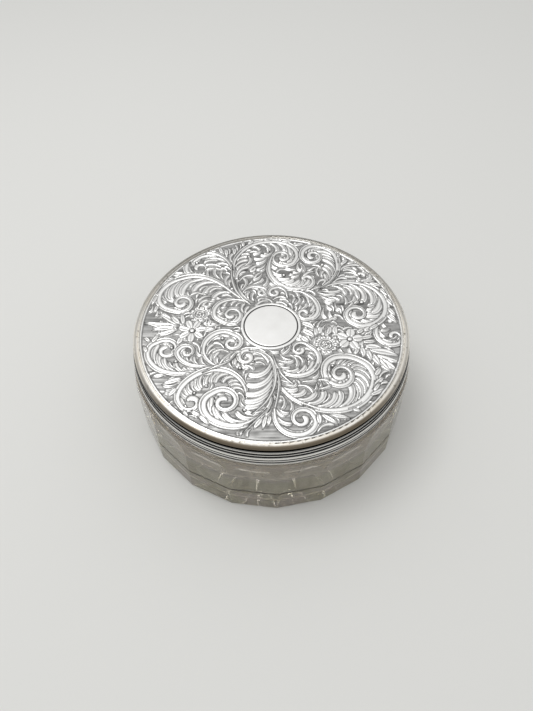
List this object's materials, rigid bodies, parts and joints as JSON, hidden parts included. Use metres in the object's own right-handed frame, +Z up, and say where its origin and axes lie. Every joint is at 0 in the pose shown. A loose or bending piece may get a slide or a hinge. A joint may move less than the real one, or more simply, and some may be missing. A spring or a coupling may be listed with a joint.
{
  "type": "powder jar",
  "caption": "Round dressing-table powder jar: a panel-cut clear glass bowl with a lift-off silver lid chased with foliate scrolls around a plain round cartouche.",
  "frame": {"origin": "centre of the glass base, on the plane the jar stands on", "axes": "+Z up along the jar's axis; the front of the chased design faces -Y"},
  "size_m": [0.1218, 0.1218, 0.0466],
  "materials": {
    "glass": "clear, cut and polished",
    "chased_silver": "chased silver, dark in the cuts",
    "border_silver": "worn polished silver, warm tarnish",
    "plain_silver": "polished silver",
    "reeded_silver": "polished silver"
  },
  "bodies": {
    "bowl": {"glass_jar": "glass"},
    "lid": {"lid_plate": "chased_silver", "lid_border": "border_silver", "lid_skirt": "plain_silver", "lid_reeding": "reeded_silver"}
  },
  "joints": [
    {"name": "lid_lift", "type": "slide", "parent": "bowl", "child": "lid", "axis": [0, 0, 1], "range_m": [0, 0.03]}
  ]
}
